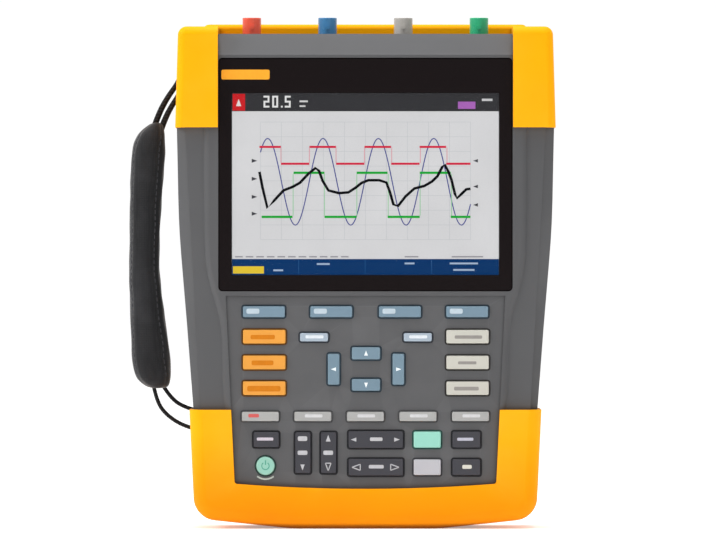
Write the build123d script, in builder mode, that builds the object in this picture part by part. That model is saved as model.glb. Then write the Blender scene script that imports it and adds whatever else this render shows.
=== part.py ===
from build123d import *
from math import radians, tan
import os

os.makedirs("parts", exist_ok=True)

# A handheld four-channel oscilloscope standing upright, in millimetres. X runs across the
# screen, +Z up, and the screen faces -Y. The origin is the centre of the face it stands on.

# ---- Case ----
front_depth = 32.5  # screen side of the case, from the plane between its two shells
panel_depth = 31.7  # floor of the keypad's shallow recess
shoulder_depth = 19.0  # where the side grips start to slope in towards the screen
core_depth = 31.0  # case under the bumpers
rear_depth = 32.0
wall = 3.0
seam = 0.8  # gasket between the shells
grip_low, grip_high = 60.7, 204.8  # bare case between the two bumpers
case_top = 252.6
brow_bevel = 10.8
brow_set_back = 6.0
crest_radius = 3.0
brow_half_width = 75.2
cavity_depth = 17.0
cavity_top = 236.0
heights = [grip_low, 90.0, 108.0, 122.0, 134.0, 150.0, 176.0, grip_high]
grip_widths = [88.0, 90.2, 91.6, 92.8, 93.8, 95.0, 95.9, 96.5]
crest_widths = [69.8, 71.0, 72.6, 77.0, 79.8, 80.7, 80.9, 81.0]

# ---- Bumpers ----
bumper_depth = 35.0
bumper_top = 256.3
bridge_top = 258.6
top_edge, foot_edge = 4.0, 7.0  # rounding of the rims
foot_half_width = 37.5
top_block_inner = 75.3
bridge_front = 14.5  # how far behind the middle the top bumper's rear bridge starts

# ---- Display ----
window_size = (149.8, 118.8)
window_z = 180.7
window_thickness = 2.5
window_set_back = 0.3
lcd_size = (138.8, 98.4)
lcd_z = 176.2
lcd_thickness = 6.0
display_opening = (140.0, 108.0)

# ---- Input connectors ----
input_pitch = 38.9
input_floor = 238.0
input_top = 261.5
barrel_radius = 4.8
bay_half_depth = 13.0

# ---- Keys ----
key_face = 33.2
key_travel = 1.0
key_gap = 0.3
key_flange = 0.9
key_back = 26.9
flange_thickness = 1.5
rocker_back = 26.4
rocker_axis = 27.15
pivot_radius = 0.7
pivot_post = 25.9
panel_back = panel_depth - wall
dome_top = key_back - key_travel - 0.5
mat_front, mat_back = 24.9, 24.0
key_grid = 13.15  # height between the rows of large keys
channel_pitch = 26.8

# ---- Back of the case ----
stand_axis = (29.8, 194.0)
stand_low = 92.0
stand_half_width = 58.0
door_half_width, door_low, door_high = 60.0, 14.0, 75.0
screw_x, screw_z = 48.0, 68.5

# ---- Side ports ----
port_y = 14.0
port_low, port_high = 154.0, 190.0
port_half_width = 8.0
cover_face = 94.4
cover_axis = (92.9, 188.6)

# ---- Hand strap ----
strap_y = 8.0
strap_width = 40.0
webbing_width = 20.0
webbing_thickness = 2.4
pad_top, pad_foot = 206.6, 72.0
cord_radius = 1.0
anchor_low, anchor_high = 46.5, 62.5
anchor_half_width = 5.0
anchor_bar = (-83.2, 53.8)

pieces = []


def finish(piece, name):
    """Label a finished piece and keep it for writing."""
    piece.part.label = name
    pieces.append(piece.part)


def front(depth):
    """Plane parallel to the screen, depth in front of the middle; extruding goes forward."""
    return Plane.XZ.offset(depth)


def waisted_face(widths):
    """Face between the bumpers whose sides follow a half width at each height."""
    right = [(width, z) for width, z in zip(widths, heights)]
    left = [(-width, z) for width, z in reversed(right)]
    with BuildSketch() as face:
        with BuildLine():
            Spline(*right)
            Line(right[-1], left[0])
            Spline(*left)
            Line(left[-1], right[0])
        make_face()
    return face.sketch


def mirrored_face(right, radius):
    """Face with straight sides, from its right-hand corners upwards, rounded at each corner."""
    left = [(-x, z) for x, z in reversed(right)]
    with BuildSketch() as face:
        with BuildLine():
            Polyline(*right, *left, close=True)
        make_face()
        fillet(face.vertices(), radius)
    return face.sketch


def core_face():
    """Case outline where the bumpers cover it."""
    return mirrored_face([(37.0, 4.4), (84.2, 9.5), (84.2, 62.0), (92.0, 204.0), (92.0, 251.5)], 3.0)


def cavity_face():
    """Hollow of the case, seen from the front."""
    return mirrored_face([(36.0, 8.0), (80.5, 13.0), (80.5, 62.0), (88.5, 204.0), (88.5, cavity_top)], 3.0)


def keypad_face(grow=0.0):
    """Keypad recess, which the lower bumper frames; its lower edge is gently bowed."""
    low_x, low_z = 66.7 + grow, 23.0
    with BuildSketch() as face:
        with BuildLine():
            Line((low_x, low_z), (71.3 + grow, 118.8))
            Line((71.3 + grow, 118.8), (-71.3 - grow, 118.8))
            Line((-71.3 - grow, 118.8), (-low_x, low_z))
            ThreePointArc((-low_x, low_z), (0, 20.4), (low_x, low_z))
        make_face()
        fillet(face.vertices().group_by(Axis.Y)[0], 1.5)
    return face.sketch


def anchor_pocket():
    """Room in the left side for the strap's lower cord."""
    with BuildPart() as pocket:
        with BuildSketch(Plane.XZ.offset(-strap_y)):
            with Locations((-86.0, (anchor_low + anchor_high) / 2)):
                Rectangle(20.0, anchor_high - anchor_low)
        extrude(amount=anchor_half_width, both=True)
    return pocket.part


# name, x, z, width, height
push_keys = []
for number, x in enumerate((-51.8, -17.4, 17.6, 51.9), start=1):
    push_keys.append((f"soft_key_{number}", x, 110.7, 21.4, 5.6))
for number in range(3):
    z = 98.0 - number * key_grid
    push_keys.append((f"orange_key_{number + 1}", -51.6, z, 21.7, 7.0))
    push_keys.append((f"white_key_{number + 1}", 52.1, z, 21.6, 6.8))
push_keys += [
    ("small_key_left", -26.2, 97.7, 14.3, 4.2),
    ("small_key_right", 26.7, 97.7, 14.3, 4.2),
    ("arrow_key_up", 0.3, 89.5, 14.5, 6.2),
    ("arrow_key_down", 0.3, 73.4, 14.5, 6.0),
    ("arrow_key_left", -16.2, 81.4, 6.0, 15.8),
    ("arrow_key_right", 16.8, 81.4, 6.0, 15.8),
    ("dark_key_left", -50.6, 45.5, 13.0, 7.8),
    ("mint_key", 31.5, 45.5, 13.8, 8.2),
    ("light_key", 31.5, 31.4, 13.8, 8.0),
    ("dark_key_upper", 51.5, 45.5, 14.3, 8.2),
    ("dark_key_lower", 51.5, 31.4, 14.3, 8.2),
]
for number in range(5):
    push_keys.append((f"channel_key_{number + 1}", (number - 2) * channel_pitch, 57.3, 18.9, 4.8))
rockers = [
    ("tall_rocker_left", -31.9, 38.8, 7.9, 20.9),
    ("tall_rocker_right", -18.8, 38.8, 7.9, 20.9),
    ("wide_rocker_upper", 5.3, 45.5, 27.9, 8.6),
    ("wide_rocker_lower", 5.3, 31.4, 27.9, 8.6),
]
power_key = (-51.0, 32.1, 4.7)  # x, z, radius
screw_places = [(-78.0, 72.0), (78.0, 72.0), (-78.0, 195.0), (78.0, 195.0)]
input_places = [(number - 1.5) * input_pitch for number in range(4)]
webbing_strands = [((-109.3, pad_top), (-94.9, 231.4)), ((-105.4, pad_top), (-94.9, 224.4))]


def pivot_ends(x, z, width, height):
    """Centres of the two posts that a rocker tips between."""
    reach = min(width, height) / 2 + 1.7
    if height > width:
        return [(x - reach, z), (x + reach, z)]
    return [(x, z - reach), (x, z + reach)]


def pivot_plane(x, z, width, height):
    """Plane across a rocker's pivot pins."""
    return Plane((x, -rocker_axis, z), z_dir=(1, 0, 0) if height > width else (0, 0, 1))


def strand(start, end):
    """One flat strand of webbing between two points of the XZ plane, made past its far end."""
    run = Vector(end[0] - start[0], end[1] - start[1])
    side = run.normalized().rotate(Axis.Z, 90) * (webbing_thickness / 2)
    near, far = Vector(*start), Vector(*end)
    with BuildSketch(Plane.XZ.offset(-strap_y)) as face:
        with BuildLine():
            Polyline(near + side, far + side, far - side, near - side, close=True)
        make_face()
    return extrude(face.sketch, amount=webbing_width / 2, both=True)


# ---- Front shell ----
with BuildPart() as front_shell:
    with BuildSketch(front(seam / 2)):
        add(waisted_face(grip_widths))
    extrude(amount=shoulder_depth - seam / 2)
    with BuildSketch(front(shoulder_depth)):
        add(waisted_face(grip_widths))
    with BuildSketch(front(front_depth)):
        add(waisted_face(crest_widths))
    loft(ruled=True)
    crests = front_shell.faces().sort_by(Axis.Y)[0].edges().sort_by(Axis.X)
    fillet([crests[0], crests[-1]], crest_radius)
    with BuildSketch(front(seam / 2)):
        add(core_face())
    extrude(amount=core_depth - seam / 2)
    with BuildSketch(front(seam / 2)):
        with Locations((0, (grip_high + case_top) / 2)):
            Rectangle(2 * brow_half_width, case_top - grip_high)
    extrude(amount=front_depth - seam / 2)
    with BuildSketch(Plane.YZ):
        with BuildLine():
            Polyline(
                (-front_depth, case_top - brow_bevel),
                (-front_depth - 1.0, case_top),
                (-front_depth + brow_set_back, case_top),
                close=True,
            )
        make_face()
    extrude(amount=100.0, both=True, mode=Mode.SUBTRACT)
    with BuildSketch(front(core_depth - 1.0)):
        add(keypad_face(-0.2))
    extrude(amount=panel_depth - core_depth + 1.0)
    with BuildSketch(front(panel_depth)):
        add(keypad_face())
    extrude(amount=bumper_depth, mode=Mode.SUBTRACT)
    # Hollow: full width behind the shoulders, then as wide as the crest.
    with BuildSketch(front(0)):
        add(cavity_face())
    extrude(amount=cavity_depth, mode=Mode.SUBTRACT)
    with BuildSketch(front(cavity_depth)):
        add(mirrored_face([(67.5, 24.0), (67.5, 104.0), (77.5, 128.0), (77.5, cavity_top)], 3.0))
    extrude(amount=panel_back - cavity_depth, mode=Mode.SUBTRACT)
    with BuildSketch(front(cavity_depth)):
        with Locations((0, cavity_top + 5.0)):
            Rectangle(140.0, 14.0)
    extrude(amount=10.0, mode=Mode.SUBTRACT)
    # Display recess and opening.
    with BuildSketch(front(front_depth - window_set_back - window_thickness)):
        with Locations((0, window_z)):
            RectangleRounded(window_size[0] + 0.4, window_size[1] + 0.4, 2.2)
    extrude(amount=wall + 2.0, mode=Mode.SUBTRACT)
    with BuildSketch(front(cavity_depth)):
        with Locations((0, window_z)):
            Rectangle(*display_opening)
    extrude(amount=wall + 12.0, mode=Mode.SUBTRACT)
    # Screw bosses and keypad board posts.
    with BuildSketch(front(seam / 2)):
        with Locations(*screw_places):
            Circle(4.0)
    extrude(amount=cavity_depth + 1.0 - seam / 2)
    with BuildSketch(front(seam / 2)):
        with Locations(*screw_places):
            Circle(1.5)
    extrude(amount=13.0, mode=Mode.SUBTRACT)
    with BuildSketch(front(mat_back)):
        with Locations((-64.6, 62.0), (64.6, 62.0), (-38.8, 113.0), (38.8, 113.0)):
            Circle(1.2)
    extrude(amount=panel_back + 0.5 - mat_back)
    # Key apertures.
    with BuildSketch(front(panel_back - 1.0)):
        for name, x, z, width, height in push_keys + rockers:
            with Locations((x, z)):
                RectangleRounded(width + 2 * key_gap, height + 2 * key_gap, 1.1)
        with Locations(power_key[:2]):
            Circle(power_key[2] + key_gap)
    extrude(amount=wall + 3.0, mode=Mode.SUBTRACT)
    # Posts with holes for the rockers' pivot pins.
    for name, x, z, width, height in rockers:
        with BuildSketch(front(pivot_post)):
            with Locations(*pivot_ends(x, z, width, height)):
                Rectangle(*((1.6, 3.0) if height > width else (3.0, 1.6)))
        extrude(amount=panel_back - pivot_post + 0.5)
        with BuildSketch(pivot_plane(x, z, width, height)):
            Circle(pivot_radius + 0.06)
        extrude(amount=min(width, height) / 2 + 2.6, both=True, mode=Mode.SUBTRACT)
    # Input bay in the top edge, shared with the rear shell.
    with BuildSketch(Plane.XY.offset(input_floor)):
        Rectangle(2 * brow_half_width - 6.0, 2 * bay_half_depth)
    extrude(amount=30.0, mode=Mode.SUBTRACT)
    with BuildSketch(Plane.XY.offset(cavity_top - 1.0)):
        with Locations(*[(x, 0) for x in input_places]):
            Circle(4.4)
    extrude(amount=6.0, mode=Mode.SUBTRACT)
finish(front_shell, "front_shell")

# ---- Rear shell ----
with BuildPart() as rear_shell:
    with BuildSketch(front(-rear_depth)):
        add(waisted_face(grip_widths))
    extrude(amount=rear_depth - seam / 2)
    back_edges = rear_shell.faces().sort_by(Axis.Y)[-1].edges().sort_by(Axis.X)
    fillet([back_edges[0], back_edges[-1]], 9.0)
    with BuildSketch(front(-core_depth)):
        add(core_face())
    extrude(amount=core_depth - seam / 2)
    with BuildSketch(front(-rear_depth)):
        with Locations((0, 40.0)):
            Rectangle(2 * door_half_width + 8.0, 60.0)
    extrude(amount=5.0)
    with BuildSketch(front(-rear_depth + wall)):
        add(cavity_face())
    extrude(amount=rear_depth - wall, mode=Mode.SUBTRACT)
    with BuildSketch(front(-rear_depth + 2 * wall)):
        with Locations((0, cavity_top + 5.0)):
            Rectangle(140.0, 14.0)
    extrude(amount=9.0, mode=Mode.SUBTRACT)
    # Recess for the tilt stand.
    with BuildSketch(front(-rear_depth)):
        with Locations((0, (stand_low + 200.0) / 2 - 2.0)):
            Rectangle(2 * stand_half_width + 12.0, 200.0 - stand_low + 10.0)
    extrude(amount=8.0)
    with BuildSketch(front(-rear_depth)):
        with Locations((0, (stand_low + 200.0) / 2 - 2.0)):
            RectangleRounded(2 * stand_half_width + 1.4, 200.0 - stand_low + 4.0, 3.0)
    extrude(amount=5.0, mode=Mode.SUBTRACT)
    with BuildSketch(Plane.YZ):
        with Locations(stand_axis):
            Circle(1.58)
    extrude(amount=stand_half_width + 3.6, both=True, mode=Mode.SUBTRACT)
    # Battery bay, open at the back.
    with BuildSketch(front(-rear_depth + 1.0)):
        with Locations((0, 45.0)):
            Rectangle(2 * door_half_width + 10.0, 74.0)
    extrude(amount=rear_depth - 5.0)
    with BuildSketch(front(-rear_depth + wall)):
        with Locations((0, 45.2)):
            Rectangle(2 * door_half_width + 4.0, 68.0)
    extrude(amount=rear_depth - wall - 6.0, mode=Mode.SUBTRACT)
    with BuildSketch(front(-bumper_depth)):
        with Locations((0, (door_low + door_high) / 2)):
            RectangleRounded(2 * door_half_width + 0.6, door_high - door_low + 0.6, 3.3)
    extrude(amount=bumper_depth - rear_depth + wall + 0.5, mode=Mode.SUBTRACT)
    # Side recess for the ports, with its flap's pin holes.
    with BuildSketch(Plane.YZ.offset(84.0)):
        with Locations((port_y, (port_low + port_high) / 2)):
            Rectangle(2 * port_half_width + 6.0, port_high - port_low + 10.0)
    extrude(amount=7.0)
    with BuildSketch(Plane.YZ.offset(86.0)):
        with Locations((port_y, (port_low + port_high) / 2)):
            RectangleRounded(2 * port_half_width + 1.0, port_high - port_low + 2.6, 1.5)
    extrude(amount=20.0, mode=Mode.SUBTRACT)
    with BuildSketch(Plane.YZ.offset(82.0)):
        with Locations((port_y, (port_low + port_high) / 2)):
            Rectangle(2 * port_half_width - 2.0, 28.6)
    extrude(amount=6.0, mode=Mode.SUBTRACT)
    with BuildSketch(front(-port_y)):
        with Locations(cover_axis):
            Circle(0.88)
    extrude(amount=port_half_width + 2.0, both=True, mode=Mode.SUBTRACT)
    # Anchor for the strap's lower cord.
    with BuildSketch(front(-strap_y)):
        with Locations((-79.5, (anchor_low + anchor_high) / 2)):
            Rectangle(9.0, anchor_high - anchor_low + 4.0)
    extrude(amount=anchor_half_width + 2.0, both=True)
    add(anchor_pocket(), mode=Mode.SUBTRACT)
    with BuildSketch(front(-strap_y)):
        with Locations(anchor_bar):
            Circle(2.0)
    extrude(amount=anchor_half_width, both=True)
    # Screw columns with counterbores.
    with BuildSketch(front(-rear_depth + 1.0)):
        with Locations(*screw_places):
            Circle(5.0)
    extrude(amount=rear_depth - 1.0 - seam / 2)
    with Locations(*[Plane((x, rear_depth, z), z_dir=(0, 1, 0)) for x, z in screw_places]):
        CounterBoreHole(1.7, 3.4, 3.4, depth=rear_depth)
    with BuildSketch(Plane.XY.offset(input_floor)):
        Rectangle(2 * brow_half_width - 6.0, 2 * bay_half_depth)
    extrude(amount=30.0, mode=Mode.SUBTRACT)
    with BuildSketch(Plane.XY.offset(cavity_top - 1.0)):
        with Locations(*[(x, 0) for x in input_places]):
            Circle(4.4)
    extrude(amount=6.0, mode=Mode.SUBTRACT)
finish(rear_shell, "rear_shell")

# ---- Gasket between the shells ----
with BuildPart() as shell_gasket:
    with BuildSketch(front(-seam / 2)):
        add(mirrored_face([(36.6, 5.6), (82.6, 11.0), (82.6, 62.0), (90.6, 204.0), (90.6, cavity_top + 1.0)], 3.0))
        add(cavity_face(), mode=Mode.SUBTRACT)
        with Locations(*screw_places):
            Circle(4.2, mode=Mode.SUBTRACT)
        with Locations((0, case_top)):
            Rectangle(2 * brow_half_width, 50.0, mode=Mode.SUBTRACT)
    extrude(amount=seam)
finish(shell_gasket, "shell_gasket")

# ---- Yellow bumpers: rounded envelopes with the case taken out ----
with BuildPart() as case_core:
    with BuildSketch(front(-core_depth)):
        add(core_face())
    extrude(amount=2 * core_depth)

with BuildPart() as rear_bridge:
    with BuildSketch(Plane.XY.offset(bumper_top - 20.0)):
        with Locations((0, bridge_front + 9.5)):
            RectangleRounded(2 * top_block_inner + 16.0, 19.0, 4.0)
    extrude(amount=bridge_top - bumper_top + 20.0)
    fillet(rear_bridge.faces().sort_by(Axis.Z)[-1].edges(), 2.5)

with BuildPart() as top_bumper:
    with BuildSketch(front(-bumper_depth)):
        add(mirrored_face([(97.4, grip_high - 10.0), (95.6, bumper_top)], 4.5))
    extrude(amount=2 * bumper_depth)
    rims = top_bumper.faces().filter_by(Axis.Y).edges()
    fillet(rims, top_edge)
    add(rear_bridge.part)
    with BuildSketch(Plane.XY.offset(grip_high)):
        Rectangle(300.0, 300.0)
    extrude(amount=-60.0, mode=Mode.SUBTRACT)
    with BuildSketch(front(-bridge_front)):
        with Locations((0, bumper_top - 20.0)):
            Rectangle(2 * top_block_inner, 100.0)
    extrude(amount=80.0, mode=Mode.SUBTRACT)
    add(case_core.part, mode=Mode.SUBTRACT)
    for start, end in webbing_strands:
        add(strand(start, end), mode=Mode.SUBTRACT)
finish(top_bumper, "top_bumper")

with BuildPart() as bottom_bumper:
    with BuildSketch(front(-bumper_depth)) as outline:
        with BuildLine():
            right_side = [(foot_half_width, 0), (87.3, 5.2), (90.4, 72.0)]
            Polyline(*right_side, *[(-x, z) for x, z in reversed(right_side)], close=True)
        make_face()
        fillet([v for v in outline.vertices() if 80.0 < abs(v.X) < 88.0], 12.0)
        fillet([v for v in outline.vertices() if abs(abs(v.X) - foot_half_width) < 0.1], 90.0)
    extrude(amount=2 * bumper_depth)
    rims = bottom_bumper.faces().filter_by(Axis.Y).edges()
    fillet(rims, foot_edge)
    with BuildSketch(Plane.XY.offset(grip_low)):
        Rectangle(300.0, 300.0)
    extrude(amount=60.0, mode=Mode.SUBTRACT)
    add(case_core.part, mode=Mode.SUBTRACT)
    with BuildSketch(front(core_depth - 1.0)):
        add(keypad_face())
    extrude(amount=10.0, mode=Mode.SUBTRACT)
    with BuildSketch(front(-bumper_depth)):
        with Locations((0, 50.0)):
            Rectangle(2 * door_half_width + 8.4, 80.4)
    extrude(amount=10.0, mode=Mode.SUBTRACT)
    add(anchor_pocket(), mode=Mode.SUBTRACT)
finish(bottom_bumper, "bottom_bumper")

# ---- Display ----
with BuildPart() as display_window:
    with BuildSketch(front(front_depth - window_set_back - window_thickness)):
        with Locations((0, window_z)):
            RectangleRounded(*window_size, 2.0)
    extrude(amount=window_thickness)
    fillet(display_window.faces().sort_by(Axis.Y)[0].edges(), 0.5)
finish(display_window, "display_window")

lcd_front = front_depth - window_set_back - window_thickness - 0.3
with BuildPart() as lcd_panel:
    with BuildSketch(front(lcd_front - lcd_thickness)):
        with Locations((0, lcd_z)):
            Rectangle(*lcd_size)
    extrude(amount=lcd_thickness)
    chamfer(lcd_panel.faces().sort_by(Axis.Y)[0].edges(), 0.4)
finish(lcd_panel, "lcd_panel")

with BuildPart() as lcd_frame:
    with BuildSketch(front(lcd_front - lcd_thickness - 2.4)):
        with Locations((0, lcd_z)):
            RectangleRounded(lcd_size[0] + 7.2, lcd_size[1] + 7.2, 2.0)
    extrude(amount=lcd_thickness + 1.2)
    with BuildSketch(front(lcd_front - lcd_thickness - 0.2)):
        with Locations((0, lcd_z)):
            Rectangle(lcd_size[0] + 0.6, lcd_size[1] + 0.6)
    extrude(amount=lcd_thickness, mode=Mode.SUBTRACT)
finish(lcd_frame, "lcd_frame")

# ---- Input connectors: coloured barrel with a bayonet lug each side, and a hexagonal nut ----
for colour, x in zip(("red", "blue", "grey", "green"), input_places):
    with BuildPart() as connector:
        with BuildSketch(Plane.XY.offset(input_floor)):
            with Locations((x, 0)):
                RegularPolygon(8.0, 6)
        extrude(amount=3.0)
        chamfer(connector.faces().sort_by(Axis.Z)[-1].edges(), 0.6)
        with BuildSketch(Plane.XY.offset(input_floor - 9.0)):
            with Locations((x, 0)):
                Circle(4.3)
        extrude(amount=9.0)
        with BuildSketch(Plane.XY.offset(input_floor)):
            with Locations((x, 0)):
                Circle(6.4)
        extrude(amount=8.0)
        with BuildSketch(Plane.XY.offset(input_floor)):
            with Locations((x, 0)):
                Circle(barrel_radius)
        extrude(amount=input_top - input_floor)
        with BuildSketch(Plane.XZ):
            with Locations((x, input_top - 5.0)):
                Circle(1.0)
        extrude(amount=barrel_radius + 0.9, both=True)
        with BuildSketch(Plane.XY.offset(input_top - 13.0)):
            with Locations((x, 0)):
                Circle(4.05)
        extrude(amount=20.0, mode=Mode.SUBTRACT)
        rim = connector.faces().sort_by(Axis.Z)[-1].edges()
        fillet(rim.sort_by(SortBy.RADIUS)[-1], 0.3)
    finish(connector, f"input_{colour}")

with BuildPart() as input_contacts:
    with BuildSketch(Plane.XY.offset(input_top - 13.0)):
        with Locations(*[(x, 0) for x in input_places]):
            Circle(1.1)
            Circle(0.5, mode=Mode.SUBTRACT)
    extrude(amount=11.0)
finish(input_contacts, "input_contacts")

# ---- Keys ----
for name, x, z, width, height in push_keys:
    with BuildPart() as key:
        with BuildSketch(front(key_back)):
            with Locations((x, z)):
                RectangleRounded(width, height, 0.8)
        extrude(amount=key_face - key_back)
        fillet(key.faces().sort_by(Axis.Y)[0].edges(), 0.45)
        with BuildSketch(front(key_back)):
            with Locations((x, z)):
                Rectangle(width + 2 * key_flange, height + 2 * key_flange)
        extrude(amount=flange_thickness)
    finish(key, name)

with BuildPart() as key:
    with BuildSketch(front(key_back)):
        with Locations(power_key[:2]):
            Circle(power_key[2])
    extrude(amount=key_face - key_back)
    fillet(key.faces().sort_by(Axis.Y)[0].edges(), 0.6)
    with BuildSketch(front(key_back)):
        with Locations(power_key[:2]):
            Circle(power_key[2] + key_flange)
    extrude(amount=flange_thickness)
finish(key, "power_key")

for name, x, z, width, height in rockers:
    with BuildPart() as key:
        with BuildSketch(front(rocker_back)):
            with Locations((x, z)):
                RectangleRounded(width, height, 0.8)
        extrude(amount=key_face - rocker_back)
        fillet(key.faces().sort_by(Axis.Y)[0].edges(), 0.45)
        with BuildSketch(front(rocker_back)):
            with Locations((x, z)):
                Rectangle(width + 1.4, height + 1.4)
        extrude(amount=flange_thickness)
        with BuildSketch(pivot_plane(x, z, width, height)):
            Circle(pivot_radius)
        extrude(amount=min(width, height) / 2 + 2.4, both=True)
    finish(key, name)

# ---- Keypad mat with a dome under each key, and its board ----
dome_places = [(x, z) for name, x, z, width, height in push_keys] + [power_key[:2]]
for name, x, z, width, height in rockers:
    reach_x = 0.32 * width if width > height else 0.0
    reach_z = 0.32 * height if height > width else 0.0
    dome_places += [(x - reach_x, z - reach_z), (x + reach_x, z + reach_z)]
with BuildPart() as keypad_mat:
    with BuildSketch(front(mat_back)):
        with Locations((0, 70.0)):
            RectangleRounded(132.0, 90.0, 3.0)
        with Locations((-64.6, 62.0), (64.6, 62.0), (-38.8, 113.0), (38.8, 113.0)):
            Circle(1.6, mode=Mode.SUBTRACT)
    extrude(amount=mat_front - mat_back)
    with BuildSketch(front(mat_front)):
        with Locations(*dome_places):
            Circle(1.8)
    extrude(amount=dome_top - mat_front)
finish(keypad_mat, "keypad_mat")

with BuildPart() as keypad_board:
    with BuildSketch(front(mat_back - 1.6)):
        with Locations((0, 70.0)):
            RectangleRounded(133.0, 91.0, 3.0)
    extrude(amount=1.6)
finish(keypad_board, "keypad_board")

# ---- Main board, input shield, battery ----
with BuildPart() as main_board:
    with BuildSketch(front(9.0)):
        with Locations((0, 125.0)):
            RectangleRounded(146.0, 204.0, 3.0)
        with Locations((-66.0, 34.0), (66.0, 34.0), (-66.0, 219.0), (66.0, 219.0)):
            Circle(1.7, mode=Mode.SUBTRACT)
    extrude(amount=1.6)
    with BuildSketch(front(10.6)):
        with Locations((-30.0, 150.0), (26.0, 150.0)):
            Rectangle(26.0, 26.0)
        with Locations((-44.0, 96.0), (0, 96.0), (44.0, 96.0)):
            Rectangle(14.0, 20.0)
    extrude(amount=2.4)
finish(main_board, "main_board")

with BuildPart() as input_shield:
    with BuildSketch(front(-12.0)):
        with Locations((0, 200.0)):
            RectangleRounded(140.0, 54.0, 2.0)
    extrude(amount=21.0)
    with BuildSketch(front(-11.2)):
        for number in range(4):
            with Locations(((number - 1.5) * 34.6, 200.0)):
                Rectangle(33.4, 52.0)
    extrude(amount=30.0, mode=Mode.SUBTRACT)
finish(input_shield, "input_shield")

with BuildPart() as battery_pack:
    with BuildSketch(front(-28.4)):
        with Locations((0, 37.0)):
            RectangleRounded(120.0, 50.0, 4.0)
    extrude(amount=20.5)
    fillet(battery_pack.edges().filter_by(Axis.X), 3.0)
finish(battery_pack, "battery_pack")

# ---- Battery door and its quarter-turn screws ----
with BuildPart() as battery_door:
    with BuildSketch(front(-rear_depth)):
        with Locations((0, (door_low + door_high) / 2)):
            RectangleRounded(2 * door_half_width, door_high - door_low, 3.0)
    extrude(amount=wall - 0.2)
    for groove in range(6):
        with BuildSketch(front(-rear_depth)):
            with Locations((0, 26.0 + groove * 5.0)):
                SlotOverall(70.0, 2.0)
        extrude(amount=0.7, mode=Mode.SUBTRACT)
    with BuildSketch(front(-rear_depth)):
        with Locations((-screw_x, screw_z), (screw_x, screw_z)):
            Circle(5.3)
    extrude(amount=1.8, mode=Mode.SUBTRACT)
    with BuildSketch(front(-rear_depth)):
        with Locations((-screw_x, screw_z), (screw_x, screw_z)):
            Circle(2.6)
    extrude(amount=5.0, mode=Mode.SUBTRACT)
finish(battery_door, "battery_door")

for side, x in (("left", screw_x), ("right", -screw_x)):
    with BuildPart() as door_screw:
        with BuildSketch(front(-rear_depth - 0.3)):
            with Locations((x, screw_z)):
                Circle(5.0)
        extrude(amount=1.8)
        with BuildSketch(front(-rear_depth - 0.3)):
            with Locations((x, screw_z)):
                Rectangle(8.0, 1.6)
        extrude(amount=1.0, mode=Mode.SUBTRACT)
        with BuildSketch(front(-rear_depth + 1.0)):
            with Locations((x, screw_z)):
                Circle(2.55)
        extrude(amount=2.6)
        with BuildSketch(front(-rear_depth + wall + 0.3)):
            with Locations((x, screw_z + 3.0)):
                RectangleRounded(5.0, 11.5, 2.0)
        extrude(amount=1.6)
    finish(door_screw, f"door_screw_{side}")

# ---- Tilt stand on two integral pins ----
with BuildPart() as tilt_stand:
    with BuildSketch(front(-31.4)):
        with Locations((0, (stand_low + stand_axis[1]) / 2)):
            Rectangle(2 * stand_half_width, stand_axis[1] - stand_low)
    extrude(amount=3.2)
    fillet(tilt_stand.edges().filter_by(Axis.Y).group_by(Axis.Z)[0], 8.0)
    with BuildSketch(front(-31.4)):
        with Locations((0, 140.0)):
            RectangleRounded(84.0, 70.0, 6.0)
    extrude(amount=1.2, mode=Mode.SUBTRACT)
    with BuildSketch(front(-bumper_depth)):
        with Locations((0, stand_low)):
            SlotOverall(30.0, 12.0)
    extrude(amount=10.0, mode=Mode.SUBTRACT)
    with BuildSketch(Plane.YZ):
        with Locations(stand_axis):
            Circle(2.2)
    extrude(amount=stand_half_width, both=True)
    with BuildSketch(Plane.YZ):
        with Locations(stand_axis):
            Circle(1.5)
    extrude(amount=stand_half_width + 3.2, both=True)
finish(tilt_stand, "tilt_stand")

# ---- Ports behind a flap in the right side ----
with BuildPart() as port_sockets:
    with BuildSketch(Plane.YZ.offset(74.0)):
        with Locations((port_y, (port_low + port_high) / 2)):
            Rectangle(2 * port_half_width - 2.6, 28.0)
    extrude(amount=13.0)
    with BuildSketch(Plane.YZ.offset(77.0)):
        with Locations((port_y, 179.0)):
            Rectangle(6.4, 13.0)
        with Locations((port_y, 169.0)):
            Rectangle(3.2, 5.0)
        with Locations((port_y, 162.0)):
            Circle(3.0)
    extrude(amount=20.0, mode=Mode.SUBTRACT)
    with BuildSketch(Plane.YZ.offset(76.0)):
        with Locations((port_y - 1.2, 179.0)):
            Rectangle(1.8, 11.0)
        with Locations((port_y, 162.0)):
            Circle(0.8)
    extrude(amount=9.0)
finish(port_sockets, "port_sockets")

with BuildPart() as port_cover:
    with BuildSketch(Plane.YZ.offset(cover_face - 2.0)):
        with Locations((port_y, (port_low + cover_axis[1]) / 2)):
            Rectangle(2 * port_half_width, cover_axis[1] - port_low)
    extrude(amount=2.0)
    fillet(port_cover.edges().filter_by(Axis.X).group_by(Axis.Z)[0], 1.2)
    with BuildSketch(front(-port_y)):
        with Locations(cover_axis):
            Circle(1.3)
    extrude(amount=port_half_width, both=True)
    with BuildSketch(front(-port_y)):
        with Locations(cover_axis):
            Circle(0.8)
    extrude(amount=port_half_width + 1.6, both=True)
    with BuildSketch(Plane.YZ.offset(cover_face)):
        with Locations((port_y, port_low + 3.4)):
            SlotOverall(9.0, 1.6)
    extrude(amount=0.5)
finish(port_cover, "port_cover")

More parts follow.
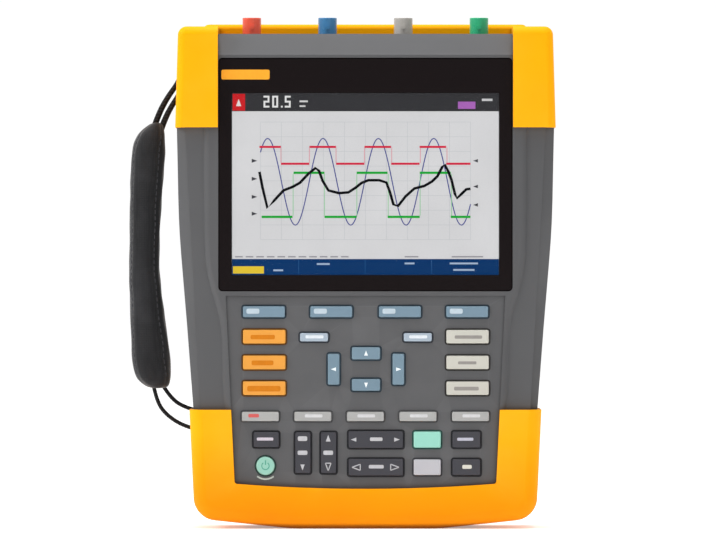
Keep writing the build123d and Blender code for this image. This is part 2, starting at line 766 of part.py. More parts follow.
# ---- Screws that join the shells ----
with BuildPart() as housing_screws:
    with BuildSketch(front(-rear_depth + 3.4)):
        with Locations(*screw_places):
            Circle(1.45)
    extrude(amount=40.0)
    with BuildSketch(front(-rear_depth + 1.0)):
        with Locations(*screw_places):
            Circle(3.1)
    extrude(amount=2.4)
    with BuildSketch(front(-rear_depth + 1.0)):
        with Locations(*screw_places):
            RegularPolygon(1.6, 6)
    extrude(amount=1.4, mode=Mode.SUBTRACT)
finish(housing_screws, "housing_screws")

# ---- Hand strap on the left side ----
with BuildPart() as strap_pad:
    with BuildSketch(front(-strap_y)):
        with BuildLine():
            outer = Spline(
                (-110.8, pad_top), (-117.2, 199.5), (-119.4, 180.0), (-120.4, 135.0),
                (-119.6, 100.0), (-117.2, 80.0), (-111.5, pad_foot),
            )
            inner = Spline(
                (-99.4, pad_foot), (-102.2, 91.0), (-106.2, 118.0),
                (-107.5, 138.0), (-106.0, 172.0), (-103.4, pad_top),
            )
            Line(outer @ 1, inner @ 0)
            Line(inner @ 1, outer @ 0)
        make_face()
    extrude(amount=strap_width / 2, both=True)
finish(strap_pad, "strap_pad")

with BuildPart() as strap_webbing:
    for start, end in webbing_strands:
        add(strand(start, end))
    with BuildSketch(Plane.XY.offset(pad_top)):
        Rectangle(400.0, 400.0)
    extrude(amount=-20.0, mode=Mode.SUBTRACT)
finish(strap_webbing, "strap_webbing")

# One cord, sewn into the pad at both ends, round the bar of the lower anchor.
cord_route = [
    (-108.9, pad_foot), (-107.2, 63.8), (-101.8, 56.9), (-93.2, 51.6), (-81.5, 48.9),
    (-78.1, 53.6), (-81.5, 58.6), (-92.4, 61.1), (-99.8, 65.6), (-103.8, pad_foot),
]
corners = [Vector(x, strap_y, z) for x, z in cord_route]
radii = []
for before, here, after in zip(corners, corners[1:], corners[2:]):
    turn = (here - before).get_angle(after - here)
    shorter = min((here - before).length, (after - here).length)
    radii.append(0.45 * shorter / tan(radians(turn / 2)))
print("cord radii", [round(radius, 2) for radius in radii])
with BuildPart() as strap_cord:
    with BuildLine() as cord_line:
        FilletPolyline(*corners, radius=radii)
    with BuildSketch(Plane(corners[0], z_dir=corners[1] - corners[0])):
        Circle(cord_radius)
    sweep()
print("cord length", round(cord_line.wires()[0].length, 2))
print("cord volume", round(strap_cord.part.volume, 2), 3.14159 * cord_radius**2 * cord_line.wires()[0].length)
finish(strap_cord, "strap_cord")

for part in pieces:
    export_step(part, f"parts/{part.label}.step")
print(len(pieces), "pieces")
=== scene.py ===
import math

import bpy
import bmesh
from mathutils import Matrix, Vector, noise
from mathutils.bvhtree import BVHTree


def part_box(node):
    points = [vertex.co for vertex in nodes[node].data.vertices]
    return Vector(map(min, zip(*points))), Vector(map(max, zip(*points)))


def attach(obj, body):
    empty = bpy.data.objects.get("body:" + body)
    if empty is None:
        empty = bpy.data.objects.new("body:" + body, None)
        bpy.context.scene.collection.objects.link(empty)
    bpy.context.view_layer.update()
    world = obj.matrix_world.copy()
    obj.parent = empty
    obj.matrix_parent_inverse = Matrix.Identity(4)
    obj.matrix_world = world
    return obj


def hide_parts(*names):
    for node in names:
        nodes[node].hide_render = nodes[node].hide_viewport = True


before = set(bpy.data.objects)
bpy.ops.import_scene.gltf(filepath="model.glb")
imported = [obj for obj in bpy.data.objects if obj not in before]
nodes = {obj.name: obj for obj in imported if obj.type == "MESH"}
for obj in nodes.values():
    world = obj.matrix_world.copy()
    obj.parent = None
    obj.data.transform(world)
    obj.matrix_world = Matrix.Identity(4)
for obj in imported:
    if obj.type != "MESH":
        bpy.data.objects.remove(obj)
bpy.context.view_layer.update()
MM = 0.001
CASE = "case"


# ---------------------------------------------------------------- camera, floor and light
FRAME_WIDTH = 0.3652  # width of the picture at the case's front
CAMERA_AT = Vector((-0.0038, -4.5, 0.1320))
SENSOR_MM = 36.0
FLOOR_HALF = 6.0
LIGHTS_FACE = Vector((0.0, 0.0, 0.13))
LIGHTS = (  # name, place, power in watts and size of each area lamp
    ("key_light", (-1.6, -0.55, 1.1), 14.0, 0.6),
    ("fill_light", (1.3, -1.8, 0.9), 1.0, 1.4),
    ("top_light", (0.0, -0.15, 1.5), 15.0, 0.6),
)
BRIGHT_SIDE = (-0.12, 0.75, 0.65)  # the studio is brightest up and behind, and dim below and in front
BRIGHTNESS = {"From Min": -0.45, "From Max": 0.6, "To Min": 0.34, "To Max": 1.02}
front_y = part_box("front_shell")[0].y

camera_data = bpy.data.cameras.new("camera")
camera_data.sensor_width = SENSOR_MM
camera_data.lens = SENSOR_MM * (front_y - CAMERA_AT.y) / FRAME_WIDTH
camera_data.clip_end = 20.0
camera = bpy.data.objects.new("camera", camera_data)
camera.location = CAMERA_AT
camera.rotation_euler = (math.pi / 2, 0.0, 0.0)
bpy.context.scene.collection.objects.link(camera)
bpy.context.scene.camera = camera
bpy.context.scene.view_settings.view_transform = "Standard"


# ---------------------------------------------------------------- helpers for colours and materials
GRAIN_DEPTH = 0.00005  # of moulded plastic and rubber
SHADE_REACH = 0.003  # how far from a join the painted shade reaches


def linear(code):
    """Opaque linear colour from a hexadecimal sRGB one."""
    values = [int(code[i:i + 2], 16) / 255 for i in (0, 2, 4)]
    return tuple(v / 12.92 if v <= 0.04045 else ((v + 0.055) / 1.055) ** 2.4 for v in values) + (1.0,)


def scaled(colour, factor):
    return tuple(min(1.0, c * factor) for c in colour[:3]) + (1.0,)


class Graph:
    """Short calls for building one material's nodes."""

    def __init__(self, name):
        self.material = bpy.data.materials.new(name)
        self.material.use_nodes = True
        self.tree = self.material.node_tree
        self.shader = self.tree.nodes["Principled BSDF"]
        self.where = self.tree.nodes.new("ShaderNodeTexCoord").outputs["Object"]

    def node(self, kind, **values):
        made = self.tree.nodes.new(kind)
        for key, value in values.items():
            setattr(made, key, value)
        return made

    def link(self, out, into):
        self.tree.links.new(out, into)

    def noise(self, scale, detail=2.0, roughness=0.5, where=None):
        made = self.node("ShaderNodeTexNoise")
        made.inputs["Scale"].default_value = scale
        made.inputs["Detail"].default_value = detail
        made.inputs["Roughness"].default_value = roughness
        self.link(where or self.where, made.inputs["Vector"])
        return made.outputs["Fac"]

    def spread(self, value, low, high, source_low=0.3, source_high=0.7):
        made = self.node("ShaderNodeMapRange")
        self.link(value, made.inputs["Value"])
        made.inputs["From Min"].default_value = source_low
        made.inputs["From Max"].default_value = source_high
        made.inputs["To Min"].default_value = low
        made.inputs["To Max"].default_value = high
        return made.outputs["Result"]

    def mix(self, factor, first, second):
        made = self.node("ShaderNodeMix", data_type="RGBA")
        colour_sockets = [s for s in made.inputs if s.type == "RGBA"]
        for value, socket in zip((factor, first, second), [made.inputs["Factor"]] + colour_sockets):
            if isinstance(value, bpy.types.NodeSocket):
                self.link(value, socket)
            else:
                socket.default_value = value
        return next(s for s in made.outputs if s.type == "RGBA")

    def math(self, operation, first, second=0.0):
        made = self.node("ShaderNodeMath", operation=operation)
        for value, socket in zip((first, second), made.inputs):
            if isinstance(value, bpy.types.NodeSocket):
                self.link(value, socket)
            else:
                socket.default_value = value
        return made.outputs["Value"]

    def axis(self, name):
        made = self.node("ShaderNodeSeparateXYZ")
        self.link(self.where, made.inputs["Vector"])
        return made.outputs[name]

    def set(self, **values):
        """Uniform values of the shader's sockets, with _ for the spaces in their names."""
        for key, value in values.items():
            self.shader.inputs[key.replace("_", " ")].default_value = value

    def drive(self, socket, out):
        self.link(out, self.shader.inputs[socket])

    def bump(self, height, strength, distance):
        made = self.node("ShaderNodeBump")
        made.inputs["Strength"].default_value = strength
        made.inputs["Distance"].default_value = distance
        self.link(height, made.inputs["Height"])
        self.link(made.outputs["Normal"], self.shader.inputs["Normal"])

    def worn(self, colour, edge_colour, low=0.55, high=0.68, amount=0.5):
        """Paler along the edges, where hands and benches rub."""
        point = self.node("ShaderNodeNewGeometry").outputs["Pointiness"]
        edge = self.spread(point, 0.0, amount, low, high)
        patchy = self.math("MULTIPLY", edge, self.spread(self.noise(60.0, 3.0), 0.35, 1.0))
        return self.mix(patchy, colour, edge_colour)

    def painted_crease_shade(self, colour, dark, reach, depth):
        """Painted shade: darker in creases and along the joins between pieces, where the ambient occlusion
        node finds other surfaces close by.
        """
        open_to_air = self.node("ShaderNodeAmbientOcclusion", samples=8)
        open_to_air.inputs["Distance"].default_value = reach
        shade = self.spread(open_to_air.outputs["AO"], depth, 0.0, 0.35, 0.95)
        return self.mix(shade, colour, dark)


def moulded(name, code, roughness, grain, relief, drift, edge, coat=0.0, shine=0.25, crease=0.0):
    """Moulded plastic or rubber: fine grain, slow colour drift, faint scuffs and paler edges, and with crease
    a painted shade in creases and along joins.
    """
    g = Graph(name)
    colour = linear(code)
    cloud = g.spread(g.noise(18.0, 4.0), 0.0, 1.0)
    base = g.mix(cloud, scaled(colour, 1.0 - drift), scaled(colour, 1.0 + drift))
    base = g.worn(base, scaled(colour, edge))
    # Painted shade in the creases and along the joins, when crease is given.
    if crease:
        base = g.painted_crease_shade(base, scaled(colour, 0.3), SHADE_REACH, crease)
    g.drive("Base Color", base)
    g.drive("Roughness", g.spread(g.noise(140.0, 5.0, 0.65), roughness - 0.08, roughness + 0.08))
    g.set(Specular_IOR_Level=shine, Coat_Weight=coat, Coat_Roughness=0.25)
    g.bump(g.noise(grain, 1.0), relief, GRAIN_DEPTH)
    return g.material


def metal(name, code, roughness):
    """Metal with fine drawn lines along one direction."""
    g = Graph(name)
    mapping = g.node("ShaderNodeMapping")
    mapping.inputs["Scale"].default_value = (900.0, 900.0, 60.0)
    g.link(g.where, mapping.inputs["Vector"])
    lines = g.noise(1.0, 3.0, 0.6, mapping.outputs["Vector"])
    colour = linear(code)
    g.drive("Base Color", g.mix(g.spread(lines, 0.0, 1.0), scaled(colour, 0.85), scaled(colour, 1.1)))
    g.drive("Roughness", g.spread(lines, roughness - 0.08, roughness + 0.12))
    g.set(Metallic=1.0)
    g.bump(lines, 0.15, 0.00003)
    return g.material


def printed(name, code, roughness=0.5, glow=0.0, shine=0.2):
    """Ink, or a colour with a faint glow: slight mottling only."""
    g = Graph(name)
    colour = linear(code)
    tint = g.mix(g.spread(g.noise(500.0, 2.0), 0.0, 1.0), scaled(colour, 0.95), scaled(colour, 1.03))
    g.drive("Base Color", tint)
    g.drive("Roughness", g.spread(g.noise(800.0, 2.0), roughness - 0.04, roughness + 0.04))
    g.set(Specular_IOR_Level=shine)
    if glow:
        g.drive("Emission Color", tint)
        g.set(Emission_Strength=glow)
    return g.material


def paint(piece, material):
    piece.data.materials.clear()
    piece.data.materials.append(material)


def dress(node, material):
    """Give a CAD node's own material slots a better finish."""
    slots = nodes[node].data.materials
    for index in range(len(slots)):
        slots[index] = material


# ---------------------------------------------------------------- helpers for meshes
def piece_from(name, bm, material, body=CASE, smooth=None):
    """A new object from a bmesh, in the row frame, riding on a body."""
    bmesh.ops.recalc_face_normals(bm, faces=bm.faces)
    mesh = bpy.data.meshes.new(name)
    bm.to_mesh(mesh)
    bm.free()
    made = bpy.data.objects.new(name, mesh)
    bpy.context.scene.collection.objects.link(made)
    paint(made, material)
    if smooth is not None:
        mesh.shade_smooth()
        mesh.set_sharp_from_angle(angle=math.radians(smooth))
    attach(made, body)
    return made


def add_prism(bm, outline, near, far):
    """Closed slab between two depths from an (x, z) outline; depths are y values."""
    front = [bm.verts.new((x, near, z)) for x, z in outline]
    back = [bm.verts.new((x, far, z)) for x, z in outline]
    bm.faces.new(front)
    bm.faces.new(list(reversed(back)))
    for index in range(len(outline)):
        after = (index + 1) % len(outline)
        bm.faces.new((front[index], back[index], back[after], front[after]))


def rounded(x, z, width, height, radius, steps=5):
    """Outline of a rounded rectangle about a centre."""
    points = []
    corners = ((1, 1, 0.0), (-1, 1, 90.0), (-1, -1, 180.0), (1, -1, 270.0))
    for side_x, side_z, start in corners:
        centre_x = x + side_x * (width / 2 - radius)
        centre_z = z + side_z * (height / 2 - radius)
        for step in range(steps + 1):
            angle = math.radians(start + 90.0 * step / steps)
            points.append((centre_x + radius * math.cos(angle), centre_z + radius * math.sin(angle)))
    return points


def bridge(bm, loops, around=False):
    """Bands of quads from each closed loop of vertices to the next, and round to the first."""
    for first, second in zip(loops, loops[1:] + (loops[:1] if around else [])):
        for index in range(len(first)):
            after = (index + 1) % len(first)
            bm.faces.new((first[index], first[after], second[after], second[index]))


def add_frame(bm, outlines):
    """Closed frame through (outline, depth) pairs; the outlines have the same number of points."""
    bridge(bm, [[bm.verts.new((x, depth, z)) for x, z in outline] for outline, depth in outlines], True)


def add_ribbon(bm, points, width, near, far):
    """Closed flat ribbon of constant width along (x, z) points."""
    sides = []
    for index, (x, z) in enumerate(points):
        before = points[max(0, index - 1)]
        after = points[min(len(points) - 1, index + 1)]
        along = Vector((after[0] - before[0], after[1] - before[1])).normalized()
        across = Vector((-along.y, along.x)) * (width / 2)
        sides.append(((x + across.x, z + across.y), (x - across.x, z - across.y)))
    outline = [left for left, right in sides] + [right for left, right in reversed(sides)]
    count = len(points)
    front = [bm.verts.new((x, near, z)) for x, z in outline]
    back = [bm.verts.new((x, far, z)) for x, z in outline]
    total = len(outline)
    for index in range(count - 1):
        other = total - 1 - index
        bm.faces.new((front[index], front[index + 1], front[other - 1], front[other]))
        bm.faces.new((back[index + 1], back[index], back[other], back[other - 1]))
    for index in range(total):
        after = (index + 1) % total
        bm.faces.new((front[after], front[index], back[index], back[after]))


# ---------------------------------------------------------------- stage
def make_floor():
    bm = bmesh.new()
    bmesh.ops.create_grid(bm, x_segments=8, y_segments=8, size=FLOOR_HALF)
    mesh = bpy.data.meshes.new("floor")
    bm.to_mesh(mesh)
    bm.free()
    floor = bpy.data.objects.new("floor", mesh)
    bpy.context.scene.collection.objects.link(floor)
    paint(floor, printed("floor_pale", "FBFBFA", 0.9, 0.3))


def make_light():
    """A soft white studio around the object, and three area lamps."""
    world = bpy.data.worlds.new("studio")
    world.use_nodes = True
    tree = world.node_tree
    direction = tree.nodes.new("ShaderNodeTexCoord").outputs["Generated"]
    facing = tree.nodes.new("ShaderNodeVectorMath")
    facing.operation = "DOT_PRODUCT"
    facing.inputs[1].default_value = BRIGHT_SIDE
    tree.links.new(direction, facing.inputs[0])
    strength = tree.nodes.new("ShaderNodeMapRange")
    for socket, value in BRIGHTNESS.items():
        strength.inputs[socket].default_value = value
    tree.links.new(facing.outputs["Value"], strength.inputs["Value"])
    background = tree.nodes["Background"]
    background.inputs["Color"].default_value = (1.0, 1.0, 1.0, 1.0)
    tree.links.new(strength.outputs["Result"], background.inputs["Strength"])
    bpy.context.scene.world = world
    for name, place, power, size in LIGHTS:
        data = bpy.data.lights.new(name, "AREA")
        data.energy = power
        data.size = size
        lamp = bpy.data.objects.new(name, data)
        lamp.location = place
        lamp.rotation_euler = (LIGHTS_FACE - Vector(place)).to_track_quat("-Z", "Y").to_euler()
        bpy.context.scene.collection.objects.link(lamp)


make_floor()
make_light()


# ---------------------------------------------------------------- strap cord, with the route of the CAD tube
CORD_ROUTE = [
    (-0.1089, 0.0720), (-0.1072, 0.0638), (-0.1018, 0.0569), (-0.0932, 0.0516), (-0.0815, 0.0489),
    (-0.0781, 0.0536), (-0.0815, 0.0586), (-0.0924, 0.0611), (-0.0998, 0.0656), (-0.1038, 0.0720),
]
CORD_DIAMETER = 0.002
CORD_SIDES = 12
CORD_WAVE = 0.02  # share of the radius by which the braid swells and shrinks
cord_low, cord_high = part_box("strap_cord")
strap_y = (cord_low.y + cord_high.y) / 2


def cord_line():
    """Points along the smooth line of the cord."""
    curve = bpy.data.curves.new("strap_cord_line", "CURVE")
    curve.dimensions = "3D"
    curve.resolution_u = 12
    spline = curve.splines.new("NURBS")
    spline.points.add(len(CORD_ROUTE) - 1)
    for point, (x, z) in zip(spline.points, CORD_ROUTE):
        point.co = (x, strap_y, z, 1.0)
    spline.order_u = 3
    spline.use_endpoint_u = True
    holder = bpy.data.objects.new("strap_cord_line", curve)
    mesh = bpy.data.meshes.new_from_object(holder)
    points = [vertex.co.copy() for vertex in mesh.vertices]
    bpy.data.meshes.remove(mesh)
    bpy.data.objects.remove(holder)
    bpy.data.curves.remove(curve)
    return points


def add_tube(bm, points, radius, sides, wave=0.0):
    """Closed round tube along points of a plane across Y, its radius gently waved."""
    rings = []
    for index, point in enumerate(points):
        along = (points[min(index + 1, len(points) - 1)] - points[max(index - 1, 0)]).normalized()
        out = along.cross(Vector((0.0, 1.0, 0.0))).normalized()
        size = radius * (1.0 + wave * math.cos(index * math.pi))
        ring = []
        for side in range(sides):
            angle = 2 * math.pi * side / sides
            reach = math.cos(angle) * out + math.sin(angle) * Vector((0, 1, 0))
            ring.append(bm.verts.new(point + size * reach))
        rings.append(ring)
    bridge(bm, rings)
    bm.faces.new(list(reversed(rings[0])))
    bm.faces.new(rings[-1])


def make_strap_cord():
    points = cord_line()
    g = Graph("braided_cord")
    weave = g.node("ShaderNodeTexWave", bands_direction="DIAGONAL")
    weave.inputs["Scale"].default_value = 700.0
    weave.inputs["Distortion"].default_value = 1.5
    g.link(g.where, weave.inputs["Vector"])
    g.drive("Base Color", g.mix(weave.outputs["Fac"], linear("0C0C0E"), linear("242427")))
    g.set(Roughness=0.8, Specular_IOR_Level=0.2)
    g.bump(weave.outputs["Fac"], 0.6, 0.0002)
    bm = bmesh.new()
    add_tube(bm, points, CORD_DIAMETER / 2, CORD_SIDES, CORD_WAVE)
    cord = piece_from("strap_cord_braid", bm, g.material, CASE, 60)
    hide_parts("strap_cord")


make_strap_cord()


# ---------------------------------------------------------------- finishes of the CAD nodes
def bumper_colour_and_painted_shade():
    """Soft moulded rubber with painted shade: a deeper orange towards the foot of the case, and darker in
    creases and along joins.
    """
    g = Graph("bumper_rubber_painted_shade")
    # Painted shade: the deeper orange low down stands in for the shade near the floor.
    low = linear("E68800")
    high = linear("F8A800")
    height = g.spread(g.axis("Z"), 0.0, 1.0, 0.002, 0.05)
    cloud = g.spread(g.noise(14.0, 3.0), -0.12, 0.12)
    base = g.mix(g.math("ADD", height, cloud), low, high)
    base = g.worn(base, linear("FFC24A"), 0.56, 0.7, 0.35)
    # Painted shade in the creases and along the joins.
    base = g.painted_crease_shade(base, linear("8A4A04"), SHADE_REACH, 0.8)
    g.drive("Base Color", base)
    g.drive("Roughness", g.spread(g.noise(160.0, 4.0, 0.65), 0.5, 0.66))
    g.set(Specular_IOR_Level=0.08)
    g.bump(g.noise(1800.0, 1.0), 0.18, GRAIN_DEPTH)
    return g.material


# After name and colour: roughness, bumps a metre, their relief, drift of colour, paleness of edges.
# crease: strength of the painted shade in the creases and along the joins.
shell_plastic_painted_shade = moulded("shell_plastic_painted_shade", "505052", 0.42, 2400.0, 0.3, 0.05, 1.6, shine=0.35, crease=0.7)
dark_plastic = moulded("dark_plastic", "2B2B2E", 0.5, 2600.0, 0.25, 0.06, 1.5)
bumper_rubber_painted_shade = bumper_colour_and_painted_shade()
steel = metal("screw_steel", "B8BABD", 0.3)
brass = metal("contact_brass", "D9B25A", 0.25)
tin = metal("shield_tin", "AEB2B6", 0.38)
board = moulded("circuit_board", "1E5A38", 0.4, 1500.0, 0.2, 0.12, 1.2, coat=0.3)
silicone = moulded("silicone_mat", "8A8A8E", 0.65, 1800.0, 0.2, 0.05, 1.15)

for material, names in (
    (shell_plastic_painted_shade, ("front_shell", "rear_shell", "battery_door", "tilt_stand")),
    (bumper_rubber_painted_shade, ("top_bumper", "bottom_bumper")),
    (dark_plastic, ("shell_gasket", "port_cover", "port_sockets", "lcd_frame", "battery_pack")),
    (steel, ("door_screw_left", "door_screw_right", "housing_screws")),
    (board, ("main_board", "keypad_board")),
    (brass, ("input_contacts",)),
    (tin, ("input_shield",)),
    (silicone, ("keypad_mat",)),
):
    for name in names:
        dress(name, material)
dress("lcd_panel", printed("lcd_backing", "B8BCBC", 0.4))
for name, code in (("red", "FA5C3E"), ("blue", "3480B4"), ("grey", "BAB6B0"), ("green", "1ABA80")):
    gloss = moulded(f"input_{name}_plastic", code, 0.3, 3000.0, 0.1, 0.05, 1.2, coat=0.4, shine=0.5)
    dress(f"input_{name}", gloss)

KEY_FINISH = {
    "soft_key": "6F8696", "orange_key": "DC963C", "white_key": "BFBDB4", "small_key": "9EABB8",
    "arrow_key": "708796", "channel_key": "A2A2A1", "dark_key": "3C3C42", "power_key": "8FC0B0",
    "tall_rocker": "3C3C42", "wide_rocker": "3C3C42", "mint_key": "90CBBB", "light_key": "B1B1B7",
}
KEY_GAP_SHADE = {
    "soft_key": "2C3A44", "orange_key": "5A3A10", "white_key": "2A2826", "small_key": "2C3038",
    "arrow_key": "2C3A44", "channel_key": "48484A", "dark_key": "26262A", "power_key": "1E3A34",
    "tall_rocker": "26262A", "wide_rocker": "26262A", "mint_key": "1E4A42", "light_key": "3A3A3E",
}  # painted shade: a dark ring round each kind of key, for the shadow in the gap round it
key_materials = {}
for kind, code in KEY_FINISH.items():
    key_materials[kind] = moulded(f"{kind}_rubber", code, 0.5, 3000.0, 0.1, 0.04, 1.2)
key_kinds = {}
for node in nodes:
    for kind, material in key_materials.items():
        if node.startswith(kind):
            dress(node, material)
            key_kinds[node] = kind


# ---------------------------------------------------------------- display glass and what it shows
def rectangle(low_x, high_x, low_z, high_z):
    return [(low_x, low_z), (high_x, low_z), (high_x, high_z), (low_x, high_z)]


def glass_material():
    """Clear pane: only a faint grey and the studio's reflection."""
    g = Graph("clear_pane")
    g.drive("Base Color", g.mix(g.spread(g.noise(40.0, 3.0), 0.0, 1.0), linear("101214"), linear("181A1C")))
    g.drive("Roughness", g.spread(g.noise(90.0, 5.0), 0.03, 0.09))
    g.set(Alpha=0.06, Specular_IOR_Level=0.15)
    return g.material


window_low, window_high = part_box("display_window")
glass_front, glass_back = window_low.y, window_high.y
VIEW_X, VIEW_LOW, VIEW_HIGH = 0.0682, 0.1294, 0.2223  # the clear part: half its width, and its ends
PANE_GAP = 0.0002
view_z = (VIEW_LOW + VIEW_HIGH) / 2


def make_window():
    """The display window's glass: a black printed border with a clear pane set in it."""
    bm = bmesh.new()
    middle = (window_low + window_high) / 2
    size = window_high - window_low
    outer = rounded(middle.x, middle.z, size.x, size.z, 0.0020, 8)
    lip = rounded(middle.x, middle.z, size.x - 0.0007, size.z - 0.0007, 0.0018, 8)
    opening = rounded(0.0, view_z, 2 * VIEW_X, VIEW_HIGH - VIEW_LOW, 0.0006, 8)
    add_frame(bm, (
        (outer, glass_front + 0.0004), (lip, glass_front), (opening, glass_front),
        (opening, glass_back), (outer, glass_back),
    ))
    border_black = printed("window_black", "171213", 0.1, 0.0, 0.1)
    border = piece_from("window_border", bm, border_black, CASE)
    bm = bmesh.new()
    pane_outline = rounded(0.0, view_z, 2 * VIEW_X - PANE_GAP, VIEW_HIGH - VIEW_LOW - PANE_GAP, 0.0006)
    add_prism(bm, pane_outline, glass_front + 0.0001, glass_front + 0.0006)
    pane = piece_from("window_pane", bm, glass_material(), CASE)
    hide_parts("display_window")
    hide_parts("display_window")


make_window()


# ---------------------------------------------------------------- picture on the screen
def lit(name, code):
    """A colour that the display gives off, with the faint unevenness of its backlight."""
    g = Graph(name)
    colour = linear(code)
    glow = g.mix(g.spread(g.noise(30.0, 2.0), 0.0, 1.0), scaled(colour, 0.95), scaled(colour, 1.02))
    g.drive("Emission Color", glow)
    g.drive("Base Color", g.mix(g.noise(900.0), scaled(colour, 0.08), scaled(colour, 0.12)))
    g.drive("Roughness", g.spread(g.noise(300.0), 0.45, 0.6))
    g.set(Emission_Strength=0.85, Specular_IOR_Level=0.05)
    return g.material


SCREEN_FACE = glass_front + 0.0012
LAYER_STEP = 0.00005
LAYER_THICK = 0.00003
layers_used = 0


def screen_layer(name, code, shapes=(), lines=(), width=0.0):
    """Flat figures in one colour, each layer just in front of the one before."""
    global layers_used
    near = SCREEN_FACE - LAYER_STEP * layers_used
    far = near + LAYER_THICK
    layers_used += 1
    bm = bmesh.new()
    for outline in shapes:
        add_prism(bm, outline, near, far)
    for points in lines:
        add_ribbon(bm, points, width, near, far)
    piece_from(name, bm, lit(name, code))


def millimetres(strokes):
    return [[(x * MM, z * MM) for x, z in stroke] for stroke in strokes]


def box_mm(low_x, high_x, low_z, high_z):
    return rectangle(low_x * MM, high_x * MM, low_z * MM, high_z * MM)


# Millimetres: half the plot's width, then its grid, and the heights of the three areas of the screen.
PLOT_WIDE = 53.6
GRID_FOOT, GRID_ROW, GRID_ROWS, GRID_COLUMNS = 147.5, 7.5, 8, 10
SCREEN_HALF, MENU_LOW, FIELD_LOW, STATUS_LOW, STATUS_HIGH = 68.0, 129.5, 137.6, 213.0, 222.2


def make_backlight():
    """The screen's lit field, with a status bar above it and a menu bar below."""
    panes = (
        ("screen_field", "E4E4E6", FIELD_LOW, STATUS_LOW),
        ("screen_status_bar", "3A3A3D", STATUS_LOW, STATUS_HIGH),
        ("screen_menu_bar", "0B3A70", MENU_LOW, FIELD_LOW),
    )
    for name, code, low, high in panes:
        bm = bmesh.new()
        outline = box_mm(-SCREEN_HALF, SCREEN_HALF, low + 0.02, high - 0.02)
        add_prism(bm, outline, SCREEN_FACE + LAYER_STEP, SCREEN_FACE + 0.0012)
        piece_from(name, bm, lit(name, code))


def make_graticule():
    """The faint grid behind the traces."""
    top = GRID_FOOT + GRID_ROWS * GRID_ROW
    columns = [-PLOT_WIDE + column * 2 * PLOT_WIDE / GRID_COLUMNS for column in range(GRID_COLUMNS + 1)]
    rows = [GRID_FOOT + row * GRID_ROW for row in range(GRID_ROWS + 1)]
    upright = [[(x, GRID_FOOT), (x, top)] for x in columns]
    level = [[(-PLOT_WIDE, z), (PLOT_WIDE, z)] for z in rows]
    for number, strokes in enumerate((upright, level)):
        screen_layer(f"screen_graticule_{number + 1}", "CDD0D4", lines=millimetres(strokes), width=0.0002)


def square_trace(start, period, high_width, high_z, low_z):
    """Separate level strokes of a square wave, from its start to the plot's right edge."""
    strokes = []
    x = start
    while x < PLOT_WIDE:
        high_end = min(x + high_width, PLOT_WIDE)
        strokes.append([(x, high_z), (high_end, high_z)])
        low_end = min(x + period, PLOT_WIDE)
        if high_end < low_end:
            strokes.append([(high_end, low_z), (low_end, low_z)])
        x += period
    return strokes


def make_traces():
    """A sine, two square waves with faint edges, and a jagged line; the numbers are millimetres."""
    steps, middle, swing, crest, period = 180, 177.0, 22.1, 6.6, 28.25
    sine = []
    for step in range(steps + 1):
        x = -PLOT_WIDE + 2 * PLOT_WIDE * step / steps
        sine.append((x, middle + swing * math.cos(2 * math.pi * (x - crest) / period)))
    screen_layer("trace_sine", "4A4E9A", lines=millimetres([sine]), width=0.00055)

    start, high, low = -54.1, 194.8, 186.2
    red = square_trace(start - 2.6, 28.1, 13.6, high, low)
    red = [[(max(x, start), z) for x, z in stroke] for stroke in red]
    edges = [[(x, 186.6), (x, 194.4)] for x in (-43.1, -28.6, -15.0, -0.5, 13.4, 28.0, 41.6)]
    screen_layer("trace_red_levels", "E02A4A", lines=millimetres(red), width=0.0011)
    screen_layer("trace_red_edges", "E9A0AC", lines=millimetres(edges), width=0.0004)

    high, low = 181.6, 159.1
    green = square_trace(-36.7, 32.2, 15.8, high, low) + [[(-53.0, low), (-37.2, low)]]
    edges = [[(x, 159.7), (x, 181.0)] for x in (-36.9, -20.9, -4.4, 11.6, 27.9, 43.9)]
    screen_layer("trace_green_levels", "1DB43A", lines=millimetres(green), width=0.0012)
    screen_layer("trace_green_edges", "9AD8A6", lines=millimetres(edges), width=0.0004)

    mixed = [
        (-54.1, 182.1), (-52.5, 174.0), (-50.0, 163.6), (-46.5, 167.5), (-41.8, 172.6), (-37.2, 174.4),
        (-33.4, 176.5), (-29.0, 181.2), (-25.5, 184.0), (-23.7, 182.6), (-21.9, 177.6), (-18.9, 172.6),
        (-13.5, 171.2), (-8.7, 171.6), (-5.0, 174.0), (-2.0, 176.4), (1.5, 177.8), (7.0, 177.8),
        (10.7, 176.6), (12.4, 172.0), (14.3, 165.4), (16.6, 164.6), (20.5, 169.6), (25.0, 173.6),
        (30.1, 174.9), (34.0, 177.2), (36.7, 179.8), (39.2, 184.6), (40.5, 185.6), (42.2, 182.4),
        (43.9, 178.0), (45.6, 171.0), (46.7, 168.6), (49.0, 170.8), (51.5, 173.2), (53.6, 173.4),
    ]
    screen_layer("trace_mixed", "101014", lines=millimetres([mixed]), width=0.0014)


RIGHT, UP, LEFT, DOWN = 0.0, 90.0, 180.0, 270.0  # turns of an arrowhead in degrees


def triangle(x, z, size, turn):
    """Arrowhead outline about a centre."""
    points = []
    for angle in (0.0, 140.0, 220.0):
        a = math.radians(turn + angle)
        points.append((x + size * math.cos(a), z + size * math.sin(a)))
    return points


READING = "20.5"
SEGMENTS = {"0": "abcdef", "2": "abged", "5": "afgcd"}


